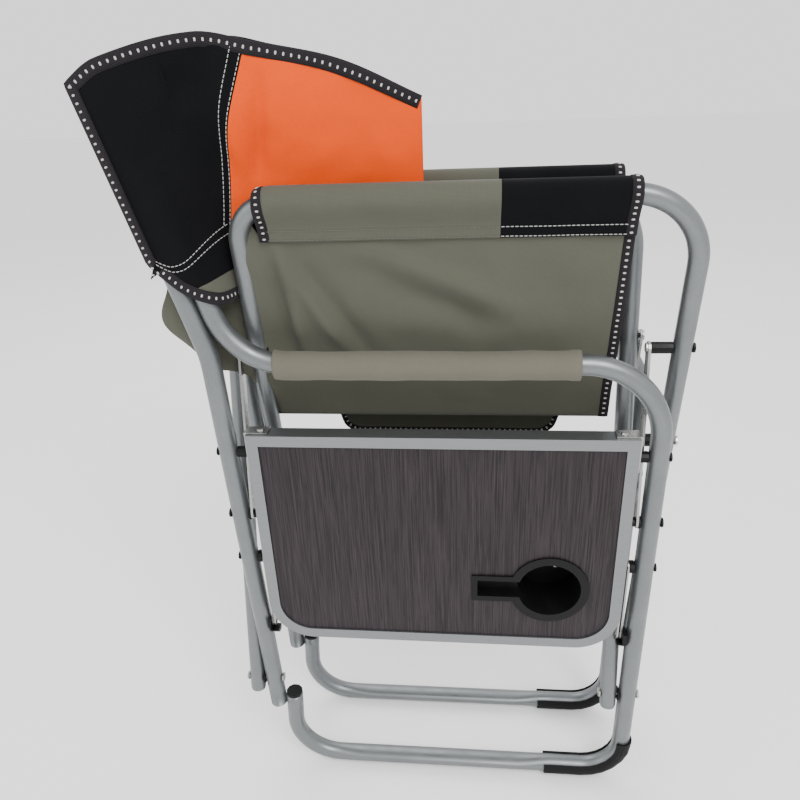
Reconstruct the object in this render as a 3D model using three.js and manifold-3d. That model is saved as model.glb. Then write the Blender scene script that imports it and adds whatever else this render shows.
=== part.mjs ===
// Folding camp chair: an aluminium-grey tube chair with sling seat and back and a drop-down side table.
// Millimetres. +Z up, the sitter faces -Y, the sitter's right is -X. The chair is folded, as it is stored.
import * as THREE from 'three';
import Module from 'manifold-3d';
import { mergeVertices } from 'three/addons/utils/BufferGeometryUtils.js';

const wasm = await Module();
wasm.setup();

// ---- driving dimensions ----
const degrees = Math.PI / 180;
const clearance = 0.4;
const frameTubeRadius = 11;
const seatTubeRadius = 10;
const tubeWall = 1.4;
const tubeSides = 10;

// Side frames: one hoop and one rear leg each, in a plane of constant X.
const frontLegY = -227;
const armHeight = 603;
const bootThickness = 2.6;
const bootRearY = -128;
const hoopRearCornerY = 216;
const postLean = 15 * degrees;
const postBend = { y: 250.5, z: 612 };
const rearLegFoot = { y: 233, z: 105 };
const rearPostTopZ = 884;
const hoopPostTopZ = 762;

// Seat frames: two U tubes that cross like an X. Tilts are measured from upright.
const pivotHeight = 150;
const lowerArm = 343;
const upperArm = 284.5;
const foldedTilt = 9 * degrees;
const openTilt = 61 * degrees;
const seatFrameWidth = 461.5;
const frontSplay = 6;
const frontCornerRadius = 72;
const rearCornerRadius = 42;
const linkReach = 464;

// Side table, hanging from its hinge on the right side frame.
const tableHingeZ = 497;
const tableTopZ = 526;
const tableBottomZ = 241;
const tableRearY = 219;
const tableFrontY = -203;
const tableFaceX = -18;
const tableThickness = 21;
const tableCornerRadius = 52;
const tableRim = 13;
const stayArm = 146;
const stayBarLength = stayArm / Math.SQRT2;
const stayPinDepth = 9;

// Cup holder.
const cup = { y: -119, z: 327, radius: 38, flange: 46, depth: 58, wall: 1.8 };
const bracketThickness = 1.6;
const cupSlot = { endY: -34, halfHeight: 13, flange: 5, depth: 16 };

// Cloth.
const seatRearY = 185;
const seatFrontY = -183;
const seatHalfWidth = 254.5;
const clothThickness = 3;
const sleeveThickness = 2.4;
const backBottomZ = 697;
const backTopZ = 900;

// ---- derived dimensions ----
const foldedSpacing = 2 * lowerArm * Math.sin(foldedTilt);
const rightX = -foldedSpacing / 2;
const leftX = foldedSpacing / 2;
const rearLegLean = (postBend.y - rearLegFoot.y) / (postBend.z - rearLegFoot.z);
const rearLegY = (z) => rearLegFoot.y + rearLegLean * (z - rearLegFoot.z);
const railRise = (lowerArm + upperArm) * Math.cos(foldedTilt);
const railZ = pivotHeight + railRise;
const railX = upperArm * Math.sin(foldedTilt);
// `toward` is +1 when the rail lies on the +X side of the feet.
const seatFrames = {
  right: { footX: leftX, toward: -1, frontY: -250.5, rearSplay: 5 },
  left: { footX: rightX, toward: 1, frontY: -203.5, rearSplay: 16 },
};
const seatFrontAt = (seat, reach) => seat.frontY + frontSplay * reach / (lowerArm + upperArm);
const seatRearAt = (seat, reach) => (
  seat.frontY + seatFrameWidth - seat.rearSplay * reach / (lowerArm + upperArm));
const linkPivotZ = findLinkPivotHeight();

// The link bars are as long folded as open, which sets the height of their lower pivot.
function findLinkPivotHeight() {
  const place = (tilt) => ({
    x: (2 * lowerArm - linkReach) * Math.sin(tilt),
    z: pivotHeight + linkReach * Math.cos(tilt),
  });
  const folded = place(foldedTilt);
  const open = place(openTilt);
  const squares = folded.x ** 2 + folded.z ** 2 - open.x ** 2 - open.z ** 2;
  return squares / (2 * (folded.z - open.z));
}

// ---- finishes ----
const finish = (color, roughness, metalness) => new THREE.MeshStandardMaterial({ color, roughness, metalness });
const silverPaint = finish(0x8f979b, 0.42, 0.7);
const aluminium = finish(0xa7abad, 0.38, 0.85);
const zincSteel = finish(0xb9bcbd, 0.3, 0.95);
const blackRubber = finish(0x161617, 0.8, 0);
const blackPlastic = finish(0x1b1c1d, 0.5, 0);
const laminate = finish(0x4b4245, 0.55, 0);
const oliveCloth = finish(0x6d6c5c, 0.9, 0);
const blackCloth = finish(0x17181a, 0.9, 0);

// ---- geometry helpers ----
const chair = new THREE.Group();

function addPiece(name, geometry, material) {
  const mesh = new THREE.Mesh(geometry, material);
  mesh.name = name;
  chair.add(mesh);
  return mesh;
}

function toSolid(geometry) {
  const bare = geometry.clone();
  for (const attribute of ['normal', 'uv']) {
    bare.deleteAttribute(attribute);
  }
  const merged = mergeVertices(bare, 1e-4);
  return new wasm.Manifold(new wasm.Mesh({
    numProp: 3,
    vertProperties: new Float32Array(merged.attributes.position.array),
    triVerts: new Uint32Array(merged.index.array),
  }));
}

function toGeometry(solid) {
  const mesh = solid.getMesh();
  const geometry = new THREE.BufferGeometry();
  geometry.setAttribute('position', new THREE.BufferAttribute(mesh.vertProperties, 3));
  geometry.setIndex(new THREE.BufferAttribute(mesh.triVerts, 1));
  return geometry;
}

function join(geometries) {
  return toGeometry(geometries.map(toSolid).reduce((sum, solid) => sum.add(solid)));
}

function cut(geometry, tools) {
  return toGeometry(tools.map(toSolid).reduce((rest, tool) => rest.subtract(tool), toSolid(geometry)));
}

function circlePoints(radius, sides) {
  const points = [];
  for (let i = 0; i < sides; i += 1) {
    const angle = (i + 0.5) / sides * 2 * Math.PI;
    points.push(new THREE.Vector2(radius * Math.cos(angle), radius * Math.sin(angle)));
  }
  return points;
}

function ringShape(outerRadius, innerRadius, sides) {
  const shape = new THREE.Shape(circlePoints(outerRadius, sides));
  shape.holes.push(new THREE.Path(circlePoints(innerRadius, sides)));
  return shape;
}

// A path of straight runs and round bends, with a ring of the tube only where it bends or ends.
class BentPath extends THREE.Curve {
  constructor(corners) {
    super();
    this.points = [];
    this.tangents = [];
    corners.forEach((corner, i) => this.addCorner(corners, corner, i));
  }

  addCorner(corners, corner, i) {
    const before = corners[Math.max(i - 1, 0)].at;
    const after = corners[Math.min(i + 1, corners.length - 1)].at;
    const arriving = corner.at.clone().sub(before).normalize();
    const leaving = after.clone().sub(corner.at).normalize();
    if (!corner.radius) {
      this.points.push(corner.at);
      this.tangents.push(i === 0 ? leaving : arriving);
      return;
    }
    const turn = arriving.angleTo(leaving);
    const inward = leaving.clone().sub(arriving).normalize();
    const centre = corner.at.clone().addScaledVector(inward, corner.radius / Math.cos(turn / 2));
    const start = corner.at.clone().addScaledVector(arriving, -corner.radius * Math.tan(turn / 2));
    const axis = arriving.clone().cross(leaving).normalize();
    const steps = Math.max(2, Math.round(turn / (15 * degrees)));
    for (let step = 0; step <= steps; step += 1) {
      const angle = turn * step / steps;
      this.points.push(start.clone().sub(centre).applyAxisAngle(axis, angle).add(centre));
      this.tangents.push(arriving.clone().applyAxisAngle(axis, angle));
    }
  }

  get steps() {
    return this.points.length - 1;
  }

  getPointAt(u, target = new THREE.Vector3()) {
    return target.copy(this.points[Math.round(u * this.steps)]);
  }

  getPoint(u, target) {
    return this.getPointAt(u, target);
  }

  getTangentAt(u, target = new THREE.Vector3()) {
    return target.copy(this.tangents[Math.round(u * this.steps)]);
  }
}

function sweep(shape, path) {
  return new THREE.ExtrudeGeometry(shape, { steps: path.steps, extrudePath: path });
}

function tube(path, radius) {
  return sweep(ringShape(radius, radius - tubeWall, tubeSides), path);
}

const at = (x, y, z, radius = 0) => ({ at: new THREE.Vector3(x, y, z), radius });

// A round bar or ring along Y, from y0 to y1.
function barAlongY(x, z, y0, y1, radius, sides = 10) {
  const bar = new THREE.CylinderGeometry(radius, radius, Math.abs(y1 - y0), sides);
  bar.translate(x, (y0 + y1) / 2, z);
  return bar;
}

function ringAlongY(x, z, y0, y1, outerRadius, innerRadius) {
  const ring = new THREE.ExtrudeGeometry(ringShape(outerRadius, innerRadius, 10), {
    depth: Math.abs(y1 - y0), bevelEnabled: false,
  });
  ring.rotateX(Math.PI / 2);
  ring.translate(x, Math.max(y0, y1), z);
  return ring;
}

const boltRadius = 3;
const holeRadius = boltRadius + clearance;

function drill(geometry, holes) {
  return cut(geometry, holes.map(
    (hole) => barAlongY(hole.x, hole.z, hole.y - 20, hole.y + 20, holeRadius, 8)));
}

// A bolt along Y with a round head at each end; the heads are outside y0 and y1.
function bolt(x, z, y0, y1, headRadius = 5.5, headHeight = 2.6) {
  return join([
    barAlongY(x, z, y0 - headHeight, y1 + headHeight, boltRadius),
    barAlongY(x, z, y0 - headHeight, y0 - clearance, headRadius),
    barAlongY(x, z, y1 + clearance, y1 + headHeight, headRadius),
  ]);
}

// The same bolt with a plastic collar on it, from collar[0] to collar[1], that spaces two parts.
function collarBolt(x, z, y0, y1, collar, collarRadius, headRadius = 5.5, headHeight = 2.6) {
  const sleeve = barAlongY(x, z, Math.min(...collar), Math.max(...collar), collarRadius);
  return join([bolt(x, z, Math.min(y0, y1), Math.max(y0, y1), headRadius, headHeight), sleeve]);
}

// A pin along Y with a head at one end only, and a collar.
function collarPin(x, z, headY, tipY, collar, collarRadius, headRadius, headHeight) {
  const away = Math.sign(headY - tipY);
  const ends = [headY + away * headHeight, tipY];
  const head = [headY + away * clearance, headY + away * headHeight];
  return join([
    barAlongY(x, z, Math.min(...ends), Math.max(...ends), boltRadius),
    barAlongY(x, z, Math.min(...head), Math.max(...head), headRadius),
    barAlongY(x, z, Math.min(...collar), Math.max(...collar), collarRadius),
  ]);
}

// A flat outline in the XZ plane, extruded along Y from y0 to y1.
function plateAlongY(points, y0, y1) {
  const plate = new THREE.ExtrudeGeometry(new THREE.Shape(points), { depth: y1 - y0, bevelEnabled: false });
  plate.rotateX(Math.PI / 2);
  plate.translate(0, y1, 0);
  return plate;
}

// A flat bar with round ends between two points of the XZ plane, drilled at the given points.
function flatBar(from, to, halfWidth, y0, y1, drilled = [from, to]) {
  const angle = Math.atan2(to.z - from.z, to.x - from.x);
  const points = [];
  for (const [end, start] of [[from, angle + Math.PI / 2], [to, angle - Math.PI / 2]]) {
    for (let i = 0; i <= 5; i += 1) {
      const around = start + Math.PI * i / 5;
      points.push(new THREE.Vector2(
        end.x + halfWidth * Math.cos(around), end.z + halfWidth * Math.sin(around)));
    }
  }
  const middle = (y0 + y1) / 2;
  return cut(plateAlongY(points, y0, y1), drilled.map(
    (end) => barAlongY(end.x, end.z, middle - 10, middle + 10, holeRadius)));
}

// ---- side frames ----
// The runner rests on the bare tube at its rear and rises to make room for the boot at its front.
function runnerZ(y) {
  return frameTubeRadius + bootThickness * (hoopRearCornerY - y) / (hoopRearCornerY - bootRearY);
}

// The hoop runs from the back post over the arm, down the front leg and along the floor.
function hoopPath(x) {
  const gap = 2 * frameTubeRadius + 0.6;
  const postFoot = {
    y: postBend.y - gap * Math.cos(postLean),
    z: postBend.z + gap * Math.sin(postLean),
  };
  const postY = (z) => postFoot.y + (z - postFoot.z) * Math.tan(postLean);
  return new BentPath([
    at(x, postY(hoopPostTopZ), hoopPostTopZ),
    at(x, postY(armHeight), armHeight, 80),
    at(x, frontLegY, armHeight, 85),
    at(x, frontLegY, runnerZ(frontLegY), 50),
    at(x, hoopRearCornerY, runnerZ(hoopRearCornerY), 60),
    at(x, 210, 122),
  ]);
}

function rearLegPath(x) {
  const topY = postBend.y + (rearPostTopZ - postBend.z) * Math.tan(postLean);
  return new BentPath([
    at(x, rearLegFoot.y, rearLegFoot.z),
    at(x, postBend.y, postBend.z, 110),
    at(x, topY, rearPostTopZ),
  ]);
}

// The rubber boot clips round the front bend of the floor runner and leaves its top bare.
function runnerBoot(x) {
  const segments = 11;
  const halfOpening = 55 * degrees;
  const segmentAngle = 2 * (Math.PI - halfOpening) / segments;
  const outer = (frameTubeRadius + bootThickness) / Math.cos(segmentAngle / 2);
  const inner = (frameTubeRadius + clearance) / Math.cos(segmentAngle / 2);
  const arc = (radius) => Array.from({ length: segments + 1 }, (_, i) => {
    const angle = halfOpening - Math.PI / 2 + segmentAngle * i;
    return new THREE.Vector2(radius * Math.cos(angle), radius * Math.sin(angle));
  });
  const path = new BentPath([
    at(x, bootRearY, runnerZ(bootRearY)),
    at(x, frontLegY, runnerZ(frontLegY), 50),
    at(x, frontLegY, runnerZ(frontLegY) + 55),
  ]);
  return sweep(new THREE.Shape([...arc(outer), ...arc(inner).reverse()]), path);
}

function endPlug(x) {
  const plug = new THREE.CylinderGeometry(frameTubeRadius, frameTubeRadius, 3, tubeSides);
  const stem = new THREE.CylinderGeometry(8.8, 8.8, 12, tubeSides);
  stem.translate(0, -7, 0);
  plug.translate(0, 0.2, 0);
  const whole = join([plug, stem]);
  whole.rotateX(Math.PI / 2 + Math.atan2(5.5, 108));
  whole.translate(x, 209.9, 122 + 1.7);
  return whole;
}

function armSleeve(x) {
  const path = new BentPath([at(x, 158, armHeight), at(x, -134, armHeight)]);
  return sweep(ringShape(frameTubeRadius + 4.4, frameTubeRadius + clearance, 16), path);
}

function frontInnerY() {
  return frontLegY + frameTubeRadius;
}

function rearInnerY(z) {
  return rearLegY(z) - frameTubeRadius;
}

const linkThickness = 2.6;
const frontLinkY = frontInnerY() + 2.8;
const rearLinkY = rearInnerY(linkPivotZ) - 2.8 - linkThickness;

function addSideFrame(side, x) {
  const frontHoles = [pivotHeight, linkPivotZ].map((z) => ({ x, y: frontLegY, z }));
  const rearHoles = [pivotHeight, linkPivotZ].map((z) => ({ x, y: rearLegY(z), z }));
  if (side === 'right') {
    for (const z of [tableHingeZ, tableHingeZ - stayArm]) {
      frontHoles.push({ x, y: frontLegY, z });
      rearHoles.push({ x, y: rearLegY(z), z });
    }
  }
  addPiece(`${side}_side_hoop`, drill(tube(hoopPath(x), frameTubeRadius), frontHoles), silverPaint);
  addPiece(`${side}_rear_leg`, drill(tube(rearLegPath(x), frameTubeRadius), rearHoles), silverPaint);
  addPiece(`${side}_runner_boot`, runnerBoot(x), blackRubber);
  addPiece(`${side}_hoop_end_plug`, endPlug(x), blackPlastic);
  addPiece(`${side}_arm_sleeve`, armSleeve(x), oliveCloth);
  addPiece(`${side}_front_link_bolt`, collarBolt(
    x, linkPivotZ, frontLegY - frameTubeRadius, frontLinkY + linkThickness + clearance,
    [frontInnerY() + clearance, frontLinkY - clearance], 7.5), blackPlastic);
  addPiece(`${side}_rear_link_bolt`, collarBolt(
    x, linkPivotZ, rearLinkY - clearance, rearLegY(linkPivotZ) + frameTubeRadius,
    [rearLinkY + linkThickness + clearance, rearInnerY(linkPivotZ) - clearance], 7.5), blackPlastic);
}

// ---- seat frames ----
// Each U tube stands with its feet at one side frame and its rail above the other.
function seatPoint(seat, reach) {
  return {
    x: seat.footX + seat.toward * reach * Math.sin(foldedTilt),
    z: pivotHeight + reach * Math.cos(foldedTilt),
  };
}

function seatFramePath(seat) {
  const foot = seatPoint(seat, -15);
  const rail = seatPoint(seat, lowerArm + upperArm);
  const rearY = seat.frontY + seatFrameWidth;
  return new BentPath([
    at(foot.x, seat.frontY, foot.z),
    at(rail.x, seat.frontY + frontSplay, rail.z, frontCornerRadius),
    at(rail.x, rearY - seat.rearSplay, rail.z, rearCornerRadius),
    at(foot.x, rearY, foot.z),
  ]);
}

function addSeatFrame(side) {
  const seat = seatFrames[side];
  const holes = [];
  for (const reach of [0, lowerArm, linkReach]) {
    const place = seatPoint(seat, reach);
    holes.push({ ...place, y: seatFrontAt(seat, reach) }, { ...place, y: seatRearAt(seat, reach) });
  }
  const frame = tube(seatFramePath(seat), seatTubeRadius);
  addPiece(`${side}_seat_frame`, drill(frame, holes), silverPaint);

  const radius = seatTubeRadius + clearance;
  const wrap = sweep(ringShape(radius + sleeveThickness, radius, tubeSides), seatFramePath(seat));
  const span = new THREE.BoxGeometry(400, seatRearY - seatFrontY, 300);
  span.translate(0, (seatRearY + seatFrontY) / 2, railZ + 70);
  addPiece(`${side}_rail_sleeve`, toGeometry(toSolid(wrap).intersect(toSolid(span))), oliveCloth);
}

// Rivets carry the upper ends of the link bars, with a spacer from the tube up to the bar.
function addLinkRivets(side) {
  const seat = seatFrames[side];
  const place = seatPoint(seat, linkReach);
  const ends = [
    ['front', seatFrontAt(seat, linkReach), frontLinkY],
    ['rear', seatRearAt(seat, linkReach), rearLinkY],
  ];
  for (const [name, tubeY, barY] of ends) {
    const toBar = Math.sign(barY - tubeY);
    const stop = (toBar > 0 ? barY : barY + linkThickness) - toBar * clearance;
    const face = tubeY + toBar * (seatTubeRadius + clearance);
    const spacer = Math.abs(stop - face) > 2 ? [face, stop] : [stop - toBar, stop];
    const spacerRadius = Math.abs(stop - face) > 2 ? 6.5 : boltRadius;
    addPiece(`${side}_${name}_link_rivet`, collarPin(
      place.x, place.z, tubeY - toBar * seatTubeRadius, stop, spacer, spacerRadius, 5.5, 2.4), blackPlastic);
  }
}

// Bolts and spacers where the two seat frames cross.
function addCrossBolts() {
  const { right, left } = seatFrames;
  const centre = seatPoint(left, lowerArm);
  const ends = [
    ['front', seatFrontAt(right, lowerArm), seatFrontAt(left, lowerArm)],
    ['rear', seatRearAt(right, lowerArm), seatRearAt(left, lowerArm)],
  ];
  for (const [name, rightTube, leftTube] of ends) {
    addPiece(`${name}_cross_bolt`, bolt(
      centre.x, centre.z, rightTube - seatTubeRadius, leftTube + seatTubeRadius), zincSteel);
    addPiece(`${name}_cross_spacer`, ringAlongY(
      centre.x, centre.z, rightTube + seatTubeRadius + clearance, leftTube - seatTubeRadius - clearance,
      7.5, holeRadius), blackPlastic);
  }
}

// Foot bolts: the seat frame feet turn on the front and rear legs of the side frames.
function addFootBolts(side, seat) {
  const x = seat.footX;
  const pairs = [
    ['front', frontLegY, seat.frontY],
    ['rear', rearLegY(pivotHeight), seat.frontY + seatFrameWidth],
  ];
  for (const [name, legY, seatY] of pairs) {
    const sign = Math.sign(seatY - legY);
    const legOuter = legY - sign * frameTubeRadius;
    const seatOuter = seatY + sign * seatTubeRadius;
    addPiece(`${side}_${name}_foot_bolt`, bolt(
      x, pivotHeight, Math.min(legOuter, seatOuter), Math.max(legOuter, seatOuter)), zincSteel);
    const faces = [legY + sign * frameTubeRadius, seatY - sign * seatTubeRadius];
    addPiece(`${side}_${name}_foot_washer`, ringAlongY(
      x, pivotHeight, Math.min(...faces) + clearance, Math.max(...faces) - clearance, 9, holeRadius),
    blackPlastic);
  }
}

// A link bar turns on the side frame at its lower end; a rivet head closes its upper end.
function addLinks(side, x) {
  const seat = seatFrames[side];
  const low = { x, z: linkPivotZ };
  const high = seatPoint(seat, linkReach);
  const ends = [
    ['front', frontLinkY, seatFrontAt(seat, linkReach)],
    ['rear', rearLinkY, seatRearAt(seat, linkReach)],
  ];
  for (const [name, y, tubeY] of ends) {
    const bar = flatBar(low, high, 7, y, y + linkThickness, [low]);
    const face = tubeY < y ? y + linkThickness : y;
    const head = barAlongY(high.x, high.z, face - 1.8, face + 1.8, 5.5);
    addPiece(`${side}_${name}_link`, join([bar, head]), zincSteel);
  }
}

// ---- side table ----
function roundedBoard(inset) {
  const shape = new THREE.Shape();
  const y0 = tableFrontY + inset;
  const y1 = tableRearY - inset;
  const bottom = tableBottomZ + inset;
  const top = tableTopZ - inset;
  const radius = tableCornerRadius - inset;
  shape.moveTo(y0, top);
  shape.lineTo(y0, bottom + radius);
  shape.absarc(y0 + radius, bottom + radius, radius, Math.PI, 1.5 * Math.PI, false);
  shape.absarc(y1 - radius, bottom + radius, radius, 1.5 * Math.PI, 2 * Math.PI, false);
  shape.lineTo(y1, top);
  shape.closePath();
  return shape;
}

// A flat outline in the YZ plane, extruded towards +X from x0.
function plateAlongX(shape, x0, depth) {
  const plate = new THREE.ExtrudeGeometry(shape, { depth, bevelEnabled: false, curveSegments: 8 });
  plate.rotateZ(Math.PI / 2);
  plate.rotateY(Math.PI / 2);
  plate.translate(x0, 0, 0);
  return plate;
}

function cupKeyhole(radius, halfHeight, endY, x0, depth) {
  const disk = new THREE.Shape();
  disk.absarc(cup.y, cup.z, radius, 0, 2 * Math.PI, false);
  const slot = new THREE.Shape();
  slot.moveTo(cup.y, cup.z - halfHeight);
  slot.lineTo(endY, cup.z - halfHeight);
  slot.lineTo(endY, cup.z + halfHeight);
  slot.lineTo(cup.y, cup.z + halfHeight);
  slot.closePath();
  const round = new THREE.ExtrudeGeometry(disk, { depth, bevelEnabled: false, curveSegments: 16 });
  round.rotateZ(Math.PI / 2);
  round.rotateY(Math.PI / 2);
  round.translate(x0, 0, 0);
  return join([round, plateAlongX(slot, x0 + 0.001, depth - 0.002)]);
}

function cupRound(y, z, radius, x0, depth, segments = 16) {
  const disk = new THREE.Shape();
  disk.absarc(y, z, radius, 0, 2 * Math.PI, false);
  const round = new THREE.ExtrudeGeometry(disk, { depth, bevelEnabled: false, curveSegments: segments });
  round.rotateZ(Math.PI / 2);
  round.rotateY(Math.PI / 2);
  round.translate(x0, 0, 0);
  return round;
}

function cupHolder(faceX) {
  const { wall } = cup;
  const flange = cupKeyhole(cup.flange, cupSlot.halfHeight + cupSlot.flange, cupSlot.endY + cupSlot.flange,
    faceX - 2.4, 2);
  const body = cupRound(cup.y, cup.z, cup.radius, faceX - 1, cup.depth);
  const trough = cupKeyhole(cup.radius - 1, cupSlot.halfHeight, cupSlot.endY, faceX - 1, cupSlot.depth);
  const cavity = cupRound(cup.y, cup.z, cup.radius - wall, faceX - 4, cup.depth + 3 - 2 * wall + 1);
  const slotCavity = cupKeyhole(cup.radius - wall - 1, cupSlot.halfHeight - wall, cupSlot.endY - wall,
    faceX - 4, cupSlot.depth + 3 - wall);
  const drains = [[1, 15, 5.5], [17, -9, 2.6], [-13, -9, 2.6], [-27, 14, 2.6]].map(
    ([dy, dz, radius]) => cupRound(cup.y + dy, cup.z + dz, radius, faceX + cup.depth - 8, 12, 6));
  return cut(join([flange, body, trough]), [cavity, slotCavity, ...drains]);
}

function addTable() {
  const faceX = rightX + tableFaceX;
  const rim = roundedBoard(0);
  rim.holes.push(roundedBoard(tableRim));
  const stayHoles = [tableFrontY, tableRearY].map((y) => barAlongY(
    rightX, tableHingeZ - stayArm, y - stayPinDepth, y + stayPinDepth, holeRadius, 8));
  addPiece('table_rim', cut(plateAlongX(rim, faceX, tableThickness), stayHoles), aluminium);
  const board = plateAlongX(roundedBoard(tableRim + clearance), faceX + 2, 8);
  const opening = cupKeyhole(cup.radius + clearance, cupSlot.halfHeight + clearance,
    cupSlot.endY + clearance, faceX - 4, 20);
  addPiece('table_board', cut(board, [opening]), laminate);
  addPiece('cup_holder', cupHolder(faceX + 2), blackPlastic);
  for (const [name, y, sign] of [['front', tableFrontY, 1], ['rear', tableRearY, -1]]) {
    addTableBracket(name, y, sign);
  }
}

// An angle bracket on top of the rim turns down its end and carries the hinge pin and the stay.
function addTableBracket(name, endY, sign) {
  const outer = endY - sign * (clearance + bracketThickness);
  const y0 = Math.min(outer, outer + sign * bracketThickness);
  const cheek = [
    [-14, -12], [1, -12], [7, -6], [7, 6], [2, 12], [2, tableTopZ - tableHingeZ + clearance + bracketThickness],
    [-14, tableTopZ - tableHingeZ + clearance + bracketThickness],
  ].map(([dx, dz]) => new THREE.Vector2(rightX + dx, tableHingeZ + dz));
  const top = new THREE.BoxGeometry(16, 26, bracketThickness);
  top.translate(rightX - 6, outer + sign * 13, tableTopZ + clearance + bracketThickness / 2);
  const screw = new THREE.CylinderGeometry(3.6, 4.4, 2, 10);
  screw.rotateX(Math.PI / 2);
  screw.translate(rightX - 6, endY + sign * 15, tableTopZ + clearance + bracketThickness + 0.8);
  const pieces = [plateAlongY(cheek, y0, y0 + bracketThickness), top, screw];
  const bracket = cut(join(pieces), [barAlongY(rightX, tableHingeZ, endY - 12, endY + 12, holeRadius)]);
  addPiece(`table_${name}_bracket`, bracket, zincSteel);
}

// Hinge pins, stay bars and catches at the two legs that carry the table.
function addTableMounting() {
  const ends = [
    ['front', 1, () => frontLegY, tableFrontY],
    ['rear', -1, rearLegY, tableRearY],
  ];
  for (const [name, sign, legYAt, tableY] of ends) {
    const legY = legYAt(tableHingeZ);
    const collar = [
      legY + sign * (frameTubeRadius + clearance),
      tableY - sign * (bracketThickness + 2 * clearance),
    ];
    addPiece(`table_${name}_hinge_pin`, collarPin(
      rightX, tableHingeZ, legY - sign * frameTubeRadius, tableY - sign * clearance,
      collar, 6.4, 5, 2.2), blackPlastic);
    addStay(name, sign, legYAt, tableY);
  }
}

function addStay(name, sign, legYAt, tableY) {
  const barThickness = 2;
  const low = { x: rightX, z: tableHingeZ - stayArm };
  const knee = { x: rightX, z: low.z - stayBarLength };
  const legY = legYAt(low.z);
  const legFace = legY + sign * frameTubeRadius;
  const lowerBar = [legFace + sign * 5.9, legFace + sign * (5.9 + barThickness)];
  const upperBar = [tableY - sign * (1.2 + barThickness), tableY - sign * 1.2];
  addPiece(`table_${name}_stay_lower`, flatBar(
    low, knee, 5, Math.min(...lowerBar), Math.max(...lowerBar)), zincSteel);
  const pin = [upperBar[0], tableY + sign * (stayPinDepth - clearance)];
  addPiece(`table_${name}_stay_upper`, join([
    flatBar(low, knee, 5, Math.min(...upperBar), Math.max(...upperBar), [knee]),
    barAlongY(low.x, low.z, Math.min(...pin), Math.max(...pin), boltRadius),
  ]), zincSteel);
  addPiece(`table_${name}_stay_bolt`, collarPin(
    rightX, low.z, legY - sign * frameTubeRadius, lowerBar[1],
    [legFace + sign * clearance, lowerBar[0] - sign * clearance], 7.5, 5, 2.2), blackPlastic);
  addCatch(name, sign, legYAt(knee.z - 13) + sign * frameTubeRadius, lowerBar[0], knee.z);
}

// A plastic catch on the leg: the knee of the stay rests on its ledge when the table hangs down.
function addCatch(name, sign, legFace, barFace, kneeZ) {
  const place = ([dx, dz]) => new THREE.Vector2(rightX + dx, kneeZ + dz);
  const plate = [[-12, 9], [-12, -6], [-6, -13], [2, -13], [4, -8], [4, 9]].map(place);
  const ledge = [[-11, -6.4], [-6, -12.6], [1.6, -12.6], [3, -9], [3, -6.4]].map(place);
  const plateEnds = [legFace + sign * clearance, barFace - sign * clearance];
  const ledgeEnds = [plateEnds[1] - sign * 0.5, legFace + sign * 11];
  addPiece(`table_${name}_catch`, join([
    plateAlongY(plate, Math.min(...plateEnds), Math.max(...plateEnds)),
    plateAlongY(ledge, Math.min(...ledgeEnds), Math.max(...ledgeEnds)),
  ]), blackPlastic);
}

// ---- cloth ----
// Half of the seat sling, hanging from its rail down to the fold in the middle.
function seatHalf(side) {
  const { toward } = seatFrames[side];
  const start = 18;
  const end = seatHalfWidth - 26;
  const direction = { x: -toward * railX / seatHalfWidth, z: -Math.sqrt(1 - (railX / seatHalfWidth) ** 2) };
  const normal = { x: -direction.z, z: direction.x };
  const corner = (along, across) => new THREE.Vector2(
    toward * railX + direction.x * along + normal.x * across,
    railZ + direction.z * along + normal.z * across);
  const half = clothThickness / 2;
  const points = [corner(start, -half), corner(end, -half), corner(end, half), corner(start, half)];
  const wrapRadius = seatTubeRadius + sleeveThickness + 3 * clearance;
  const wrap = sweep(new THREE.Shape(circlePoints(wrapRadius, tubeSides)), seatFramePath(seatFrames[side]));
  addPiece(`${side}_seat_sling`, cut(plateAlongY(points, seatFrontY, seatRearY), [wrap]), oliveCloth);
}

// Half of the back sling, folded forward from its post between the two seat rails.
function backHalf(side, x, toward, rearLimit) {
  const across = [[4, 290], [35, 226], [43.5, 72]];
  const outline = [];
  for (const [dx, y] of across) {
    outline.push(new THREE.Vector2(x + toward * (dx - clothThickness / 2), y));
  }
  for (const [dx, y] of [...across].reverse()) {
    outline.push(new THREE.Vector2(x + toward * (dx + clothThickness / 2), y));
  }
  const sheet = new THREE.ExtrudeGeometry(new THREE.Shape(outline), {
    depth: backTopZ - backBottomZ, bevelEnabled: false,
  });
  sheet.translate(0, 0, backBottomZ);
  const postAt = (z) => postBend.y + (z - postBend.z) * Math.tan(postLean) - 24;
  const behind = new THREE.ExtrudeGeometry(new THREE.Shape([
    new THREE.Vector2(rearLimit, backBottomZ - 10),
    new THREE.Vector2(rearLimit, railZ + 16),
    new THREE.Vector2(postAt(railZ + 20), railZ + 20),
    new THREE.Vector2(postAt(backTopZ + 10), backTopZ + 10),
    new THREE.Vector2(400, backTopZ + 10),
    new THREE.Vector2(400, backBottomZ - 10),
  ]), { depth: 200, bevelEnabled: false });
  behind.rotateZ(Math.PI / 2);
  behind.rotateY(Math.PI / 2);
  behind.translate(-100, 0, 0);
  addPiece(`${side}_back_sling`, cut(sheet, [behind]), blackCloth);
}

// A flat pocket hangs from the outer edge of the left arm sleeve.
function addSidePocket() {
  const shape = new THREE.Shape([
    [-134, 592], [-134, 474], [-124, 462], [122, 462], [138, 478], [138, 592],
  ].map(([y, z]) => new THREE.Vector2(y, z)));
  addPiece('left_side_pocket', plateAlongX(shape, leftX + 11.5, 4), oliveCloth);
}

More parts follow.
